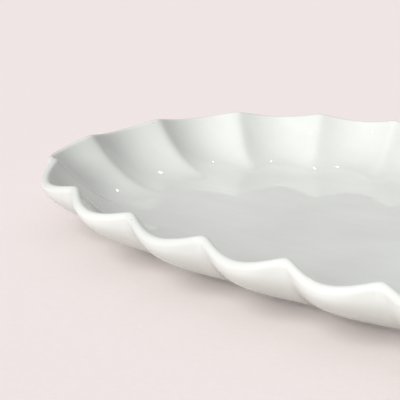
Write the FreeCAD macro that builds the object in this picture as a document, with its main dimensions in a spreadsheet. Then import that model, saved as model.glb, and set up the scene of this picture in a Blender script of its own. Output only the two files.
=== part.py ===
import FreeCAD, Part
import bisect
import math
import os

# An oval porcelain serving platter with a fluted, wavy wall. X runs along its length, Y across
# it and +Z is up; the origin is the middle of the foot ring's seat, on the table.
#
# The ware is one fired clay body with an integral foot ring. Glaze covers all of it but the
# ring's ground seat, so the glaze is in two pieces: the coat over the face, the rim and the
# outside, and the patch inside the foot ring.

# alias, value in millimetres unless it says otherwise, meaning
DIMENSIONS = (
    ("half_length", 195.0, "middle of the platter to the ridge line of its rim, along X"),
    ("half_width", 132.0, "middle of the platter to the ridge line of its rim, along Y"),
    ("squareness", 2.52, "exponent of the oval outline: 2 is an ellipse, more is squarer"),
    ("rim_height", 34.3, "table to the top of the rim on a ridge"),
    ("flute_count", 22, "flutes round the wall"),
    ("flute_grading", 0.22, "how much wider the flutes are at the ends than at the sides"),
    ("flute_bulge", 5.8, "how far the rim stands out in the middle of a flute"),
    ("flute_drop", 3.85, "how far the rim dips in the middle of a flute"),
    ("rim_softness", 0.12, "rounding of the ridges at the rim: 0 is a sharp crease"),
    ("well_softness", 0.35, "rounding of the ridges where they run out at the well"),
    ("skirt_softness", 0.5, "rounding of the outside grooves at the bottom edge"),
    ("lip_radius", 2.4, "radius of the rolled lip, glazed"),
    ("wall_run", 55.0, "ridge line of the rim to the edge of the flat well"),
    ("ridge_curve", 2.5, "power of the inside wall's curve on a ridge"),
    ("flute_curve", 3.2, "power of the inside wall's curve in mid-flute, which is fuller"),
    ("well_height", 6.5, "table to the top of the well, glazed"),
    ("skirt_run", 37.4, "ridge line of the rim to the bottom edge of the outside wall"),
    ("skirt_height", 1.4, "table to the bottom edge of the outside wall"),
    ("lip_slope", 74.0, "degrees: slope of the outside wall where it leaves the lip"),
    ("ridge_slope", 20.0, "degrees: slope of the outside wall at its bottom edge, on a ridge"),
    ("flute_slope", 19.0, "degrees: slope of the outside wall at its bottom edge, in mid-flute"),
    ("foot_inset", 1.6, "bottom edge of the outside wall to the foot ring"),
    ("foot_width", 5.0, "width of the foot ring's seat"),
    ("recess_depth", 2.9, "table to the clay inside the foot ring"),
    ("glaze_gauge", 0.3, "thickness of the glaze"),
    ("bare_seat", 0.6, "height of the foot ring that is wiped and ground bare"),
)

SAMPLES_PER_FLUTE = 24
OUTLINE_STEPS = 3600
INSIDE_STEPS, LIP_STEPS, OUTSIDE_STEPS = 14, 10, 12


def make_sheet(document):
    sheet = document.addObject("Spreadsheet::Sheet", "Sizes")
    for row, (alias, value, meaning) in enumerate(DIMENSIONS, start=1):
        sheet.set("A%d" % row, alias)
        sheet.set("B%d" % row, str(value))
        sheet.set("C%d" % row, meaning)
        sheet.setAlias("B%d" % row, alias)
    document.recompute()
    return sheet


# ---------------------------------------------------------------- the outline and its flutes

def outline_point(angle, size):
    """Point of the oval of ridge tops in the direction of an angle from +X."""
    c, s = math.cos(angle), math.sin(angle)
    reach = ((c / size.half_length) ** size.squareness
             + (s / size.half_width) ** size.squareness) ** (-1.0 / size.squareness)
    return reach * c, reach * s


def outline_normal(x, y, size):
    """Outward direction of the oval at one of its points, in the quarter where x, y >= 0."""
    power = size.squareness - 1.0
    nx = (x / size.half_length) ** power / size.half_length
    ny = (y / size.half_width) ** power / size.half_width
    length = math.hypot(nx, ny)
    return nx / length, ny / length


def quarter_stations(size):
    """Evenly numbered stations from the middle of the end flute (on X) to the ridge on Y.

    Each is the outline's point, its normal, and how many flutes it lies from the first.
    """
    steps = OUTLINE_STEPS // 4
    right_angle = 0.5 * math.pi
    angles = [right_angle * i / steps for i in range(steps)] + [right_angle - 1e-9]
    points = [outline_point(angle, size) for angle in angles]
    travelled = [0.0]
    for (x0, y0), (x1, y1) in zip(points, points[1:]):
        travelled.append(travelled[-1] + math.hypot(x1 - x0, y1 - y0))

    flutes = size.flute_count / 4.0
    count = int(round(flutes * SAMPLES_PER_FLUTE))
    stations = []
    for i in range(count + 1):
        turn = 0.25 * i / count
        share = turn + size.flute_grading * math.sin(4 * math.pi * turn) / (4 * math.pi)
        along = min(4.0 * share, 1.0) * travelled[-1]
        k = min(max(bisect.bisect_left(travelled, along), 1), steps)
        part = (along - travelled[k - 1]) / (travelled[k] - travelled[k - 1])
        x, y = outline_point(angles[k - 1] + part * (angles[k] - angles[k - 1]), size)
        stations.append((x, y, outline_normal(x, y, size), flutes * i / count))
    return stations


# ---------------------------------------------------------------- the wall's cross-section

def blend(one, other, share):
    return one + (other - one) * share


def bulge_at(flutes, softness):
    """How full a flute is, 1 in its middle and 0 on the ridges, so many flutes from a middle."""
    wave = math.cos(math.pi * flutes) ** 2
    return ((math.sqrt(wave + softness ** 2) - softness)
            / (math.sqrt(1.0 + softness ** 2) - softness))


def lip_centre(bulge, size):
    return (-size.flute_bulge * bulge,
            size.rim_height - size.lip_radius - size.flute_drop * bulge)


def inside_curve(bulge, size, glaze):
    """The inside wall, as (slope, inset, height, power) where it leaves the lip on a tangent."""
    lip = lip_centre(bulge, size)
    radius = size.lip_radius - glaze
    power = blend(size.ridge_curve, size.flute_curve, bulge)
    slope = 0.8
    for _ in range(12):
        inset = lip[0] + radius * math.sin(slope)
        height = lip[1] + radius * math.cos(slope)
        slope = math.atan(power * (height - size.well_height + glaze) / (size.wall_run - inset))
    return slope, inset, height, power


def inside_point(bulge, size, glaze, t):
    """A point of the inside wall: t is 0 at the lip and 1 at the edge of the well."""
    _, inset, height, power = inside_curve(bulge, size, glaze)
    well = size.well_height - glaze
    return blend(inset, size.wall_run, t), well + (height - well) * (1.0 - t) ** power


def outside_point(bulge, size, glaze, t):
    """A point of the outside wall, a curve drawn on three points: t is 1 at the skirt."""
    lip = lip_centre(bulge, size)
    radius = size.lip_radius - glaze
    steep = math.radians(size.lip_slope)
    flat = math.radians(blend(size.ridge_slope, size.flute_slope, bulge))
    top = (lip[0] - radius * math.sin(steep), lip[1] - radius * math.cos(steep))
    skirt = (size.skirt_run + glaze, size.skirt_height + glaze)
    knee = ((top[1] + math.tan(steep) * top[0] - skirt[1] - math.tan(flat) * skirt[0])
            / (math.tan(steep) - math.tan(flat)))
    bend = (knee, skirt[1] + math.tan(flat) * (skirt[0] - knee))
    return tuple((1.0 - t) ** 2 * a + 2.0 * t * (1.0 - t) * b + t ** 2 * c
                 for a, b, c in zip(top, bend, skirt))


def cross_section(flutes, size, glaze):
    """(inset, height) points from the well's edge, over the lip, to the skirt's bottom edge.

    The skin lies a given thickness of glaze below the finished surface.
    """
    points = []
    for i in range(INSIDE_STEPS):
        t = 1.0 - i / INSIDE_STEPS
        softness = blend(size.rim_softness, size.well_softness, t ** 2)
        points.append(inside_point(bulge_at(flutes, softness), size, glaze, t))

    bulge = bulge_at(flutes, size.rim_softness)
    lip = lip_centre(bulge, size)
    radius = size.lip_radius - glaze
    first = 0.5 * math.pi - inside_curve(bulge, size, glaze)[0]
    last = 1.5 * math.pi - math.radians(size.lip_slope)
    for i in range(LIP_STEPS + 1):
        a = blend(first, last, i / LIP_STEPS)
        points.append((lip[0] + radius * math.cos(a), lip[1] + radius * math.sin(a)))

    for i in range(1, OUTSIDE_STEPS + 1):
        t = i / OUTSIDE_STEPS
        softness = blend(size.rim_softness, size.skirt_softness, t)
        points.append(outside_point(bulge_at(flutes, softness), size, glaze, t))
    return points


# ---------------------------------------------------------------- the fluted dish

def curve_through(points, parameters):
    curve = Part.BSplineCurve()
    curve.interpolate(Points=points, Parameters=parameters)
    return curve


def surface_through(columns):
    """The bicubic surface through a grid of points, exact along its four edges."""
    middle = columns[len(columns) // 2]
    down = [0.0]
    for one, following in zip(middle, middle[1:]):
        down.append(down[-1] + one.distanceToPoint(following))
    along = [float(i) for i in range(len(columns))]

    profiles = [curve_through(column, down) for column in columns]
    nets = [profile.getPoles() for profile in profiles]
    rails = [curve_through([net[i] for net in nets], along) for i in range(len(nets[0]))]
    rows = [rail.getPoles() for rail in rails]
    poles = [[row[i] for row in rows] for i in range(len(rows[0]))]

    surface = Part.BSplineSurface()
    surface.buildFromPolesMultsKnots(
        poles, rails[0].getMultiplicities(), profiles[0].getMultiplicities(),
        rails[0].getKnots(), profiles[0].getKnots(), False, False, 3, 3)
    return surface


def quarter_wall(size, glaze):
    """One quarter of the wall's skin, inside, lip and outside in one smooth surface."""
    columns = []
    for x, y, (nx, ny), flutes in quarter_stations(size):
        columns.append([FreeCAD.Vector(x - nx * inset, y - ny * inset, height)
                        for inset, height in cross_section(flutes, size, glaze)])
    for point in columns[0]:
        point.y = 0.0
    for point in columns[-1]:
        point.x = 0.0
    return surface_through(columns).toShape()


def fluted_dish(size, glaze):
    """The solid dish without its foot ring, its skin a given depth below the finished one."""
    quarter = quarter_wall(size, glaze)
    middle = FreeCAD.Vector(0, 0, 0)
    half = [quarter, quarter.mirror(middle, FreeCAD.Vector(1, 0, 0))]
    walls = half + [wall.mirror(middle, FreeCAD.Vector(0, 1, 0)) for wall in half]

    heights = (size.well_height - glaze, size.skirt_height + glaze)
    flats = []
    for height in heights:
        edges = [edge for wall in walls for edge in wall.Edges
                 if all(abs(end.Z - height) < 1e-6 for end in edge.Vertexes)]
        flats.append(Part.Face(Part.Wire(Part.__sortEdges__(edges))))

    skin = Part.makeShell(walls + flats)
    skin.sewShape(1e-3)
    solid = Part.makeSolid(skin)
    if solid.Volume < 0:
        solid.reverse()
    return solid


def make_dish(document, name, size, glaze):
    dish = document.addObject("Part::Feature", name)
    dish.Shape = fluted_dish(size, glaze)
    dish.Placement = FreeCAD.Placement()
    return dish


# ---------------------------------------------------------------- ovals under the dish

def oval_face(size, inset):
    """A flat face at z = 0, its edge a given distance inside the ridge line of the rim."""
    stations = quarter_stations(size)[::SAMPLES_PER_FLUTE // 4]
    points = [FreeCAD.Vector(x - nx * inset, y - ny * inset, 0) for x, y, (nx, ny), _ in stations]
    points[0].y = 0.0
    points[-1].x = 0.0
    curve = Part.BSplineCurve()
    curve.interpolate(points, InitialTangent=FreeCAD.Vector(0, 1, 0),
                      FinalTangent=FreeCAD.Vector(-1, 0, 0))
    quarter = curve.toShape()
    middle = FreeCAD.Vector(0, 0, 0)
    half = [quarter, quarter.mirror(middle, FreeCAD.Vector(1, 0, 0))]
    edges = half + [edge.mirror(middle, FreeCAD.Vector(0, 1, 0)) for edge in half]
    return Part.Face(Part.Wire(Part.__sortEdges__(edges)))


def make_oval(document, name, size, inset, bottom, top):
    """An upright oval slab between two heights, which are expressions on the sheet."""
    outline = document.addObject("Part::Feature", name + "_outline")
    outline.Shape = oval_face(size, inset)
    outline.setExpression("Placement.Base.z", bottom)

    slab = document.addObject("Part::Extrusion", name)
    slab.Base = outline
    slab.Dir = FreeCAD.Vector(0, 0, 1)
    slab.Solid = True
    slab.setExpression("LengthFwd", "(%s) - (%s)" % (top, bottom))
    return slab


def combine(document, kind, name, base, tool):
    result = document.addObject(kind, name)
    result.Base = base
    result.Tool = tool
    result.Placement = FreeCAD.Placement()
    return result


# ---------------------------------------------------------------- the three pieces

def make_porcelain_body(document, bare_ware, size):
    """The fired clay: the dish and its foot ring, hollowed a little inside the ring."""
    inset = size.skirt_run + size.foot_inset + size.foot_width
    recess = make_oval(document, "foot_recess", size, inset, "-1", "Sizes.recess_depth")
    return combine(document, "Part::Cut", "porcelain_body", bare_ware, recess)


def make_glaze_coat(document, bare_ware, size):
    """The glass coat over the well, the wall and the rim, and down to the foot ring's seat."""
    dish = make_dish(document, "glazed_dish", size, 0.0)
    inset = size.skirt_run + size.foot_inset - size.glaze_gauge
    foot = make_oval(document, "glazed_foot", size, inset,
                     "Sizes.bare_seat", "Sizes.recess_depth")
    ware = combine(document, "Part::Fuse", "glazed_ware", dish, foot)
    return combine(document, "Part::Cut", "glaze_coat", ware, bare_ware)


def make_base_glaze(document, size):
    """The glass patch inside the foot ring, turned down along the ring's inner face."""
    inset = size.skirt_run + size.foot_inset + size.foot_width
    patch = make_oval(document, "base_patch", size, inset,
                      "Sizes.bare_seat", "Sizes.recess_depth")
    hollow = make_oval(document, "base_patch_hollow", size, inset + size.glaze_gauge,
                       "0", "Sizes.recess_depth - Sizes.glaze_gauge")
    return combine(document, "Part::Cut", "base_glaze", patch, hollow)


# ---------------------------------------------------------------- the document

class Sizes:
    """The sheet's values, for the shapes that are worked out in code."""

    def __init__(self, sheet):
        for alias, _, _ in DIMENSIONS:
            setattr(self, alias, float(sheet.get(alias)))


def check_document(document, pieces):
    for item in document.Objects:
        if "Invalid" in item.State or "Error" in item.State:
            raise RuntimeError("%s failed to recompute: %s" % (item.Label, item.State))
    for piece in pieces:
        shape = piece.Shape
        if shape.isNull() or not shape.isValid() or len(shape.Solids) != 1:
            raise RuntimeError("%s is not one valid solid" % piece.Label)


def main():
    document = FreeCAD.newDocument("ServingPlatter")
    size = Sizes(make_sheet(document))

    bare_dish = make_dish(document, "bare_dish", size, size.glaze_gauge)
    bare_foot = make_oval(document, "bare_foot", size, size.skirt_run + size.foot_inset,
                          "0", "Sizes.recess_depth + Sizes.glaze_gauge")
    bare_ware = combine(document, "Part::Fuse", "bare_ware", bare_dish, bare_foot)

    pieces = (
        make_porcelain_body(document, bare_ware, size),
        make_glaze_coat(document, bare_ware, size),
        make_base_glaze(document, size),
    )
    document.recompute()
    check_document(document, pieces)

    os.makedirs("parts", exist_ok=True)
    for piece in pieces:
        piece.Shape.exportStep("parts/%s.step" % piece.Label)
        box = piece.Shape.BoundBox
        print("%s: %.1f x %.1f x %.1f mm, %.1f cm3"
              % (piece.Label, box.XLength, box.YLength, box.ZLength, piece.Shape.Volume / 1000.0))


main()
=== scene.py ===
import math
import bmesh
import bpy
from mathutils import Matrix, Vector


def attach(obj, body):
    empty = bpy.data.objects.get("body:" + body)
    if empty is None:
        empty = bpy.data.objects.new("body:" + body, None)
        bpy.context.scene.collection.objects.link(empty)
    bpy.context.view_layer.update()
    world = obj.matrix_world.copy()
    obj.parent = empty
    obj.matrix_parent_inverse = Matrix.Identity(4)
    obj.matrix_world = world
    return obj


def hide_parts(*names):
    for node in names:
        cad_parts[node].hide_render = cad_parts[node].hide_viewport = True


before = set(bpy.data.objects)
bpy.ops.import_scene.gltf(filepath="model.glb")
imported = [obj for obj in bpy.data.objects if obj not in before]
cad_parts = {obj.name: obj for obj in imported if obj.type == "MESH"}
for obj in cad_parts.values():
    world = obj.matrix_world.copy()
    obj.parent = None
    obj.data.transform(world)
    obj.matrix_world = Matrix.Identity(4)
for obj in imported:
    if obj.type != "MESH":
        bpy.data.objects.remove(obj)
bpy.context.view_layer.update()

# ------------------------------------------------------------------ the fired clay
# One casting of white porcelain clay, fired hard: a flat well, a fluted wall with a rolled,
# wavy rim, and a foot ring underneath. It shows only at the foot ring's seat, which is wiped
# free of glaze before the firing and ground flat after it.

MM = 0.001
HALF_LENGTH = 195.0 * MM                  # middle of the platter to the ridge line of its rim
HALF_WIDTH = 132.0 * MM
SQUARENESS = 2.52                         # exponent of the oval outline: 2 is an ellipse
RIM_HEIGHT = 34.3 * MM                    # table to the top of the rim on a ridge
FLUTES = 22
FLUTE_GRADING = 0.22                      # how much wider the flutes are at the ends
FLUTE_BULGE = 5.8 * MM                    # how far the rim stands out in mid-flute
FLUTE_DROP = 3.85 * MM                    # how far the rim dips in mid-flute
LIP_RADIUS = 2.4 * MM
WALL_RUN = 55.0 * MM                      # ridge line of the rim to the edge of the well
WELL_HEIGHT = 6.5 * MM
RIDGE_CURVE = 2.5                         # power of the inside wall's curve on a ridge,
FLUTE_CURVE = 3.2                         # and in mid-flute, where the wall is fuller
SKIRT_RUN = 37.4 * MM                     # ridge line to the bottom edge of the outside wall
SKIRT_HEIGHT = 1.4 * MM
OUTSIDE_TOP_SLOPE = math.radians(74)      # of the outside wall where it leaves the lip,
OUTSIDE_FOOT_SLOPE = math.radians(20)     # and where it meets the table, on a ridge
OUTSIDE_FLUTE_SLOPE = math.radians(19)    # and in mid-flute
RIDGE_RIM = 0.12                          # rounding of a ridge at the rim, where 0 is sharp,
RIDGE_WELL = 0.35                         # at the edge of the well,
RIDGE_SKIRT = 0.5                         # and outside, at the skirt
FOOT_OUTSIDE = SKIRT_RUN + 1.6 * MM       # ridge line to the foot ring's outer face,
FOOT_INSIDE = FOOT_OUTSIDE + 5.0 * MM     # and to its inner face
RECESS_HEIGHT = 2.9 * MM                  # table to the clay inside the foot ring
GLAZE = 0.3 * MM
BARE_SEAT = 0.6 * MM                      # height of the foot ring that is ground bare
SEAT_ROUND = 0.5 * MM                     # rounded edges of the ground seat
OUTLINE_STEPS = 7200                      # short steps that measure the way round the oval
STEPS_PER_FLUTE = 24
INSIDE_STEPS = 32                         # steps up the inside wall,
LIP_STEPS = 20                            # over the lip,
OUTSIDE_STEPS = 24                        # and down the outside wall
CORNER_STEPS = 4                          # steps round a small rounded edge
WELL_RINGS = 8
FIRST_SLOPE = 0.8                         # first guess, in radians, at the slope where the
SLOPE_ROUNDS = 12                         # inside wall leaves the lip, and rounds to settle it


def oval_stations():
    """Points and outward normals round the oval from +X, as many to each flute."""
    points = []
    for i in range(OUTLINE_STEPS + 1):
        angle = 2 * math.pi * i / OUTLINE_STEPS
        c, s = math.cos(angle), math.sin(angle)
        reach = (abs(c / HALF_LENGTH) ** SQUARENESS
                 + abs(s / HALF_WIDTH) ** SQUARENESS) ** (-1 / SQUARENESS)
        points.append(Vector((reach * c, reach * s)))
    travelled = [0.0]
    for one, following in zip(points, points[1:]):
        travelled.append(travelled[-1] + (following - one).length)

    stations = []
    steps = FLUTES * STEPS_PER_FLUTE
    k = 1
    for i in range(steps):
        turn = i / steps
        share = turn + FLUTE_GRADING * math.sin(4 * math.pi * turn) / (4 * math.pi)
        along = share * travelled[-1]
        while travelled[k] < along:
            k += 1
        part = (along - travelled[k - 1]) / (travelled[k] - travelled[k - 1])
        point = points[k - 1].lerp(points[k], part)
        power = SQUARENESS - 1
        normal = Vector((
            math.copysign(abs(point.x / HALF_LENGTH) ** power / HALF_LENGTH, point.x),
            math.copysign(abs(point.y / HALF_WIDTH) ** power / HALF_WIDTH, point.y))).normalized()
        stations.append((point, normal))
    return stations


def bulge_at(part, softness):
    """How full a flute is, from 1 in its middle to 0 on a ridge.

    part is 0 in the middle of one flute, a half on the ridge and 1 in the middle of the next.
    """
    wave = math.cos(math.pi * part) ** 2
    return ((math.sqrt(wave + softness ** 2) - softness)
            / (math.sqrt(1 + softness ** 2) - softness))


def lip_centre(bulge):
    """Inset and height of the middle of the rolled lip."""
    return -FLUTE_BULGE * bulge, RIM_HEIGHT - LIP_RADIUS - FLUTE_DROP * bulge


def blend(one, other, share):
    return one + (other - one) * share


def inside_start(bulge, depth):
    """Slope, inset and height at which the inside wall leaves the lip, and its curve's power.

    The wall leaves on a tangent, so slope and place depend on each other and are settled in
    rounds.
    """
    lip = lip_centre(bulge)
    power = blend(RIDGE_CURVE, FLUTE_CURVE, bulge)
    slope = FIRST_SLOPE
    for _ in range(SLOPE_ROUNDS):
        inset = lip[0] + (LIP_RADIUS - depth) * math.sin(slope)
        height = lip[1] + (LIP_RADIUS - depth) * math.cos(slope)
        slope = math.atan(power * (height - WELL_HEIGHT + depth) / (WALL_RUN - inset))
    return slope, inset, height, power


def inside_point(bulge, depth, t):
    """A point of the inside wall: t is 0 at the lip and 1 at the edge of the well."""
    _, inset, height, power = inside_start(bulge, depth)
    well = WELL_HEIGHT - depth
    return blend(inset, WALL_RUN, t), well + (height - well) * (1 - t) ** power


def outside_point(bulge, depth, t):
    """A point of the outside wall, a curve drawn on three points: t is 1 at the skirt."""
    lip = lip_centre(bulge)
    radius = LIP_RADIUS - depth
    top = (lip[0] - radius * math.sin(OUTSIDE_TOP_SLOPE),
           lip[1] - radius * math.cos(OUTSIDE_TOP_SLOPE))
    skirt = (SKIRT_RUN + depth, SKIRT_HEIGHT + depth)
    steep = math.tan(OUTSIDE_TOP_SLOPE)
    flat = math.tan(blend(OUTSIDE_FOOT_SLOPE, OUTSIDE_FLUTE_SLOPE, bulge))
    knee = (top[1] + steep * top[0] - skirt[1] - flat * skirt[0]) / (steep - flat)
    bend = (knee, skirt[1] + flat * (skirt[0] - knee))
    return tuple((1 - t) ** 2 * a + 2 * t * (1 - t) * b + t ** 2 * c
                 for a, b, c in zip(top, bend, skirt))


def arc(centre, radius, start, end, count):
    """(inset, height) points on an arc. At 0 degrees it faces the middle, and at 90 up."""
    angles = [math.radians(start + (end - start) * i / count) for i in range(count + 1)]
    return [(centre[0] + radius * math.cos(a), centre[1] + radius * math.sin(a)) for a in angles]


def wall_section(part, depth):
    """(inset, height) points up the inside of the wall, over the lip and down to the skirt.

    The skin lies a given depth below the finished surface, and part says where it is cut, as
    in bulge_at.
    """
    section = []
    for i in range(INSIDE_STEPS):
        t = 1 - i / INSIDE_STEPS
        bulge = bulge_at(part, blend(RIDGE_RIM, RIDGE_WELL, t ** 2))
        section.append(inside_point(bulge, depth, t))

    start = math.pi / 2 - inside_start(bulge_at(part, RIDGE_RIM), depth)[0]
    end = 3 * math.pi / 2 - OUTSIDE_TOP_SLOPE
    lip = lip_centre(bulge_at(part, RIDGE_RIM))
    for i in range(LIP_STEPS + 1):
        a = blend(start, end, i / LIP_STEPS)
        section.append((lip[0] + (LIP_RADIUS - depth) * math.cos(a),
                        lip[1] + (LIP_RADIUS - depth) * math.sin(a)))

    for i in range(1, OUTSIDE_STEPS + 1):
        t = i / OUTSIDE_STEPS
        bulge = bulge_at(part, blend(RIDGE_RIM, RIDGE_SKIRT, t))
        section.append(outside_point(bulge, depth, t))
    return section


def well_rings(inset, height, inward):
    """Rings of a flat floor inside its edge, as shares of the edge's way out from the middle."""
    shares = [1 - i / WELL_RINGS for i in range(1, WELL_RINGS + 1)]
    rings = [(inset, height, share) for share in shares]
    return rings if inward else rings[::-1]


def whole(section):
    """Gives each point of a wall its full share of the way out from the middle."""
    return [(inset, height, 1.0) for inset, height in section]


def press_ware(name, section_at):
    """Wraps a square sheet round the middle and presses each point of it to the fluted oval.

    section_at gives the (inset, height, share) points of one cut through the wall, whose place
    is given as in bulge_at.
    """
    stations = oval_stations()
    sections = [section_at(i / STEPS_PER_FLUTE) for i in range(STEPS_PER_FLUTE)]
    rings = len(sections[0])
    ware = bmesh.new()
    bmesh.ops.create_grid(ware, x_segments=len(stations), y_segments=rings - 1, size=0.5)
    for vert in ware.verts:
        i = round((vert.co.x + 0.5) * len(stations)) % len(stations)
        ring = round((vert.co.y + 0.5) * (rings - 1))
        point, normal = stations[i]
        inset, height, share = sections[i % STEPS_PER_FLUTE][ring]
        place = (point - normal * inset) * share
        vert.co = (place.x, place.y, height)
    bmesh.ops.remove_doubles(ware, verts=ware.verts[:], dist=0.001 * MM)
    bmesh.ops.recalc_face_normals(ware, faces=ware.faces[:])
    for face in ware.faces:
        face.smooth = True
    mesh = bpy.data.meshes.new(name)
    ware.to_mesh(mesh)
    ware.free()
    piece = bpy.data.objects.new(name, mesh)
    bpy.context.scene.collection.objects.link(piece)
    return piece


def clay_section(part):
    """The clay under the glaze: out over the well and the wall, and back under the foot ring."""
    foot = arc((FOOT_OUTSIDE + SEAT_ROUND, SEAT_ROUND), SEAT_ROUND, 180, 270, CORNER_STEPS)
    foot += arc((FOOT_INSIDE - SEAT_ROUND, SEAT_ROUND), SEAT_ROUND, 270, 360, CORNER_STEPS)
    section = whole(wall_section(part, GLAZE)
                    + [(FOOT_OUTSIDE, SKIRT_HEIGHT + GLAZE)] + foot
                    + [(FOOT_INSIDE, RECESS_HEIGHT)])
    return (well_rings(WALL_RUN, WELL_HEIGHT - GLAZE, False) + section
            + well_rings(FOOT_INSIDE, RECESS_HEIGHT, True))


def linear(code):
    """Turns an sRGB hex colour into linear RGBA."""
    channels = [int(code[i:i + 2], 16) / 255 for i in (1, 3, 5)]
    return [c / 12.92 if c <= 0.04045 else ((c + 0.055) / 1.055) ** 2.4 for c in channels] + [1.0]


def add_node(owner, kind, settings=None, inputs=None):
    """Adds a node. Inputs are keyed by name or number; a value that is a socket is linked."""
    tree = owner.node_tree
    node = tree.nodes.new(kind)
    for key, value in (settings or {}).items():
        setattr(node, key, value)
    for key, value in (inputs or {}).items():
        if isinstance(value, bpy.types.NodeSocket):
            tree.links.new(value, node.inputs[key])
        else:
            node.inputs[key].default_value = value
    return node


def new_material(name):
    """A new material and its shader node."""
    material = bpy.data.materials.new(name)
    material.use_nodes = True
    return material, material.node_tree.nodes["Principled BSDF"]


def ground_biscuit_porcelain():
    """Bare fired clay, ground on a wheel: matt, faintly warm, with a fine sugary grain."""
    material, shader = new_material("ground_biscuit_porcelain")
    place = add_node(material, "ShaderNodeTexCoord").outputs["Object"]
    grain = add_node(material, "ShaderNodeTexNoise", {"noise_dimensions": "3D"},
                     {"Vector": place, "Scale": 1 / (0.6 * MM), "Detail": 3.0})
    tone = add_node(material, "ShaderNodeValToRGB", inputs={"Fac": grain.outputs["Fac"]})
    tone.color_ramp.elements[0].color = linear("#D9D4C8")
    tone.color_ramp.elements[0].position = 0.35
    tone.color_ramp.elements[1].color = linear("#EDEAE2")
    tone.color_ramp.elements[1].position = 0.65
    grit = add_node(material, "ShaderNodeBump", inputs={
        "Height": grain.outputs["Fac"], "Strength": 0.35, "Distance": 0.03 * MM})

    material.node_tree.links.new(tone.outputs["Color"], shader.inputs["Base Color"])
    material.node_tree.links.new(grit.outputs["Normal"], shader.inputs["Normal"])
    shader.inputs["Roughness"].default_value = 0.8
    shader.inputs["IOR"].default_value = 1.5
    return material


clay = press_ware("fired_clay", clay_section)
clay.data.materials.append(ground_biscuit_porcelain())
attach(clay, "root")
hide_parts("porcelain_body")

# ------------------------------------------------------------------ the glaze coat
# Clear glass, about 0.3 mm thick, that the whole ware was dipped in and fired with. It
# covers the well, the wall, the lip and the outside, and stops at the foot ring's bare seat.

GLAZE_ROUND = 0.5 * MM                    # rounding of the glaze into the foot ring's corners
MIX_A = 6                                 # numbers of a Mix node's colour sockets, which share
MIX_B = 7                                 # their names with its other sockets
MIX_RESULT = 2


def coat_section(part):
    """The coat's outer face: over the well and the wall, and down to the foot ring's seat."""
    face = FOOT_OUTSIDE - GLAZE
    corner = (face - GLAZE_ROUND, SKIRT_HEIGHT - GLAZE_ROUND)
    section = whole(wall_section(part, 0.0)
                    + arc(corner, GLAZE_ROUND, 90, 0, CORNER_STEPS)
                    + [(face, BARE_SEAT)])
    return well_rings(WALL_RUN, WELL_HEIGHT, False) + section


def give_thickness(piece, thickness):
    """Makes a skin that thick, inwards from the face that shows."""
    wall = piece.modifiers.new("glass", "SOLIDIFY")
    wall.thickness = thickness
    wall.offset = -1.0


def clear_glaze_on_porcelain():
    """White clay under clear glass: a hard, sharp gloss over a soft white.

    Faces that turn downwards are painted a darker grey-green, as painted shade. The glass is
    drawn out in faint streaks along the ware, and has a slight ripple and a few specks of iron.
    """
    material, shader = new_material("clear_glaze_on_porcelain")
    place = add_node(material, "ShaderNodeTexCoord").outputs["Object"]

    cloud = add_node(material, "ShaderNodeTexNoise", inputs={
        "Vector": place, "Scale": 1 / (45 * MM), "Detail": 3.0})
    drawn = add_node(material, "ShaderNodeMapping", inputs={
        "Vector": place, "Scale": (0.12, 1.0, 0.3)})
    streak = add_node(material, "ShaderNodeTexNoise", inputs={
        "Vector": drawn.outputs["Vector"], "Scale": 1 / (6 * MM), "Detail": 2.0})
    mottle = add_node(material, "ShaderNodeMix", inputs={
        "Factor": 0.22, "A": cloud.outputs["Fac"], "B": streak.outputs["Fac"]})
    tone = add_node(material, "ShaderNodeValToRGB", inputs={"Fac": mottle.outputs["Result"]})
    tone.color_ramp.elements[0].color = linear("#D7DAD6")
    tone.color_ramp.elements[0].position = 0.35
    tone.color_ramp.elements[1].color = linear("#DFE2DE")
    tone.color_ramp.elements[1].position = 0.65

    # Painted shade: the white turns darker grey-green as the face turns downwards, from a
    # normal's Z of -0.45 to -0.85.
    lie = add_node(material, "ShaderNodeNewGeometry").outputs["Normal"]
    lie = add_node(material, "ShaderNodeSeparateXYZ", inputs={"Vector": lie}).outputs["Z"]
    under = add_node(material, "ShaderNodeMapRange", inputs={
        "Value": lie, "From Min": -0.45, "From Max": -0.85})
    underside_shade = add_node(material, "ShaderNodeMix", {"data_type": "RGBA"}, {
        "Factor": under.outputs["Result"], MIX_A: tone.outputs["Color"],
        MIX_B: linear("#C2C6BF")})

    speck = add_node(material, "ShaderNodeTexVoronoi", {"feature": "F1"}, {
        "Vector": place, "Scale": 1 / (16 * MM), "Randomness": 1.0})
    dot = add_node(material, "ShaderNodeMapRange", inputs={
        "Value": speck.outputs["Distance"], "From Min": 0.012, "From Max": 0.024,
        "To Min": 1.0, "To Max": 0.0})
    speckled = add_node(material, "ShaderNodeMix", {"data_type": "RGBA"}, {
        "Factor": dot.outputs["Result"], MIX_A: underside_shade.outputs[MIX_RESULT],
        MIX_B: linear("#9C9A8C")})
    material.node_tree.links.new(speckled.outputs[MIX_RESULT], shader.inputs["Base Color"])

    peel = add_node(material, "ShaderNodeTexNoise", inputs={
        "Vector": place, "Scale": 1 / (7 * MM), "Detail": 1.0})
    peel_bump = add_node(material, "ShaderNodeBump", inputs={
        "Height": peel.outputs["Fac"], "Strength": 0.5, "Distance": 0.06 * MM})
    streak_bump = add_node(material, "ShaderNodeBump", inputs={
        "Height": streak.outputs["Fac"], "Strength": 0.5, "Distance": 0.12 * MM,
        "Normal": peel_bump.outputs["Normal"]})
    material.node_tree.links.new(streak_bump.outputs["Normal"], shader.inputs["Normal"])

    shader.inputs["Roughness"].default_value = 0.045
    shader.inputs["IOR"].default_value = 1.52
    return material


glaze = clear_glaze_on_porcelain()
coat = press_ware("glaze_skin", coat_section)
give_thickness(coat, GLAZE)
coat.data.materials.append(glaze)
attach(coat, "root")
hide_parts("glaze_coat")

# ------------------------------------------------------------------ the glaze under the base
# The same glass in the shallow recess inside the foot ring, cut off from the main coat by
# the ring's bare seat.


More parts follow.
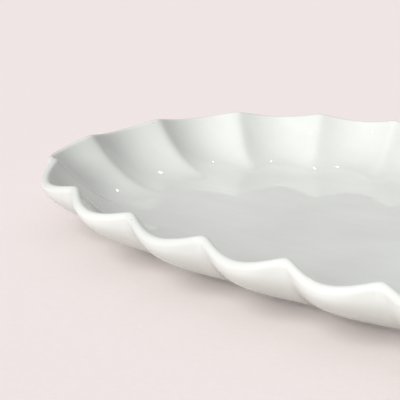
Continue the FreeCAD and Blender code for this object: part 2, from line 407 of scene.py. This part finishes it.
def base_section(_):
    """The patch's outer face, up from the foot ring's seat, alike all the way round."""
    face = FOOT_INSIDE + GLAZE
    top = RECESS_HEIGHT - GLAZE
    corner = (face + GLAZE_ROUND, top - GLAZE_ROUND)
    section = whole([(face, BARE_SEAT)]
                    + arc(corner, GLAZE_ROUND, 180, 90, CORNER_STEPS))
    return section + well_rings(face + GLAZE_ROUND, top, True)


base = press_ware("base_glaze_skin", base_section)
give_thickness(base, GLAZE)
base.data.materials.append(glaze)
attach(base, "root")
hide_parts("base_glaze")

# ------------------------------------------------------------------ the table
# A plain, pale, matt surface that runs far past the platter on every side.

TABLE_SIZE = 12.0                         # metres


def painted_table():
    """Matt pale paint with a very fine, soft mottle."""
    material, shader = new_material("painted_table")
    place = add_node(material, "ShaderNodeTexCoord").outputs["Object"]
    mottle = add_node(material, "ShaderNodeTexNoise", inputs={
        "Vector": place, "Scale": 1 / (3 * MM), "Detail": 4.0})
    tone = add_node(material, "ShaderNodeValToRGB", inputs={"Fac": mottle.outputs["Fac"]})
    tone.color_ramp.elements[0].color = linear("#F1E8E7")
    tone.color_ramp.elements[1].color = linear("#F6EDEC")
    material.node_tree.links.new(tone.outputs["Color"], shader.inputs["Base Color"])
    shader.inputs["Roughness"].default_value = 0.9
    shader.inputs["Specular IOR Level"].default_value = 0.0
    return material


def flat_square(name, side):
    bm = bmesh.new()
    bmesh.ops.create_grid(bm, x_segments=1, y_segments=1, size=side / 2)
    mesh = bpy.data.meshes.new(name)
    bm.to_mesh(mesh)
    bm.free()
    square = bpy.data.objects.new(name, mesh)
    bpy.context.scene.collection.objects.link(square)
    return square


table = flat_square("table", TABLE_SIZE)
table.data.materials.append(painted_table())

# ------------------------------------------------------------------ light and camera
# Soft window light from the front, low and high, a pale glow from behind and above, and two
# narrow strips that give the glaze its sparkles. A long lens a little above the rim looks
# along the platter from its near right corner.

GLOW_SIDE = (-0.2, 0.60, 0.77)            # the glow's middle, seen from the platter
GLOW_EDGE = -0.2                          # cosine from GLOW_SIDE at which the glow fades out


def add_sun(name, direction, width, strength, colour):
    """Adds a distant lamp that shines from a direction and looks so many degrees wide."""
    lamp = bpy.data.lights.new(name, "SUN")
    lamp.angle = math.radians(width)
    lamp.energy = strength
    lamp.color = linear(colour)[:3]
    sun = bpy.data.objects.new(name, lamp)
    sun.matrix_world = Vector(direction).to_track_quat("Z", "Y").to_matrix().to_4x4()
    bpy.context.scene.collection.objects.link(sun)


add_sun("window", (0.16, -0.92, 0.36), 22.0, 2.05, "#FFFFFF")
add_sun("upper_window", (-0.03, -0.77, 0.64), 28.0, 1.28, "#FFFFFF")
add_sun("back_strip", (-0.33, 0.69, 0.64), 1.0, 0.03, "#FFFFFF")
add_sun("side_strip", (-0.57, -0.26, 0.75), 2.0, 0.08, "#FFFFFF")

sky = bpy.data.worlds.new("studio")
sky.use_nodes = True
facing = add_node(sky, "ShaderNodeTexCoord").outputs["Generated"]
lean = add_node(sky, "ShaderNodeVectorMath", {"operation": "DOT_PRODUCT"},
                {0: facing, 1: GLOW_SIDE})
glow = add_node(sky, "ShaderNodeMapRange", inputs={
    "Value": lean.outputs["Value"], "From Min": GLOW_EDGE, "To Min": 0.06, "To Max": 0.72})
backdrop = sky.node_tree.nodes["Background"]
backdrop.inputs["Color"].default_value = linear("#FBF8F8")
sky.node_tree.links.new(glow.outputs["Result"], backdrop.inputs["Strength"])
bpy.context.scene.world = sky
bpy.context.scene.view_settings.view_transform = "Standard"

VIEW_TURN = math.radians(36.35)           # round from -Y towards +X
VIEW_RISE = math.radians(16.53)
VIEW_ROLL = math.radians(1.18)
VIEW_DISTANCE = 550.3 * MM
LOOK_AT = Vector((-137.7 * MM, 0.6 * MM, 0.0))
LENS = 87.5                               # focal length, on a sensor 36 wide

back = Vector((math.sin(VIEW_TURN) * math.cos(VIEW_RISE),
               -math.cos(VIEW_TURN) * math.cos(VIEW_RISE), math.sin(VIEW_RISE)))
right = Vector((0, 0, 1)).cross(back).normalized()
up = back.cross(right)
rolled_right = right * math.cos(VIEW_ROLL) + up * math.sin(VIEW_ROLL)
rolled_up = up * math.cos(VIEW_ROLL) - right * math.sin(VIEW_ROLL)
lens = bpy.data.cameras.new("camera")
lens.lens = LENS
lens.sensor_width = 36.0
lens.clip_start = 0.01
camera = bpy.data.objects.new("camera", lens)
camera.matrix_world = (Matrix.Translation(LOOK_AT + back * VIEW_DISTANCE)
                       @ Matrix((rolled_right, rolled_up, back)).transposed().to_4x4())
bpy.context.scene.collection.objects.link(camera)
bpy.context.scene.camera = camera
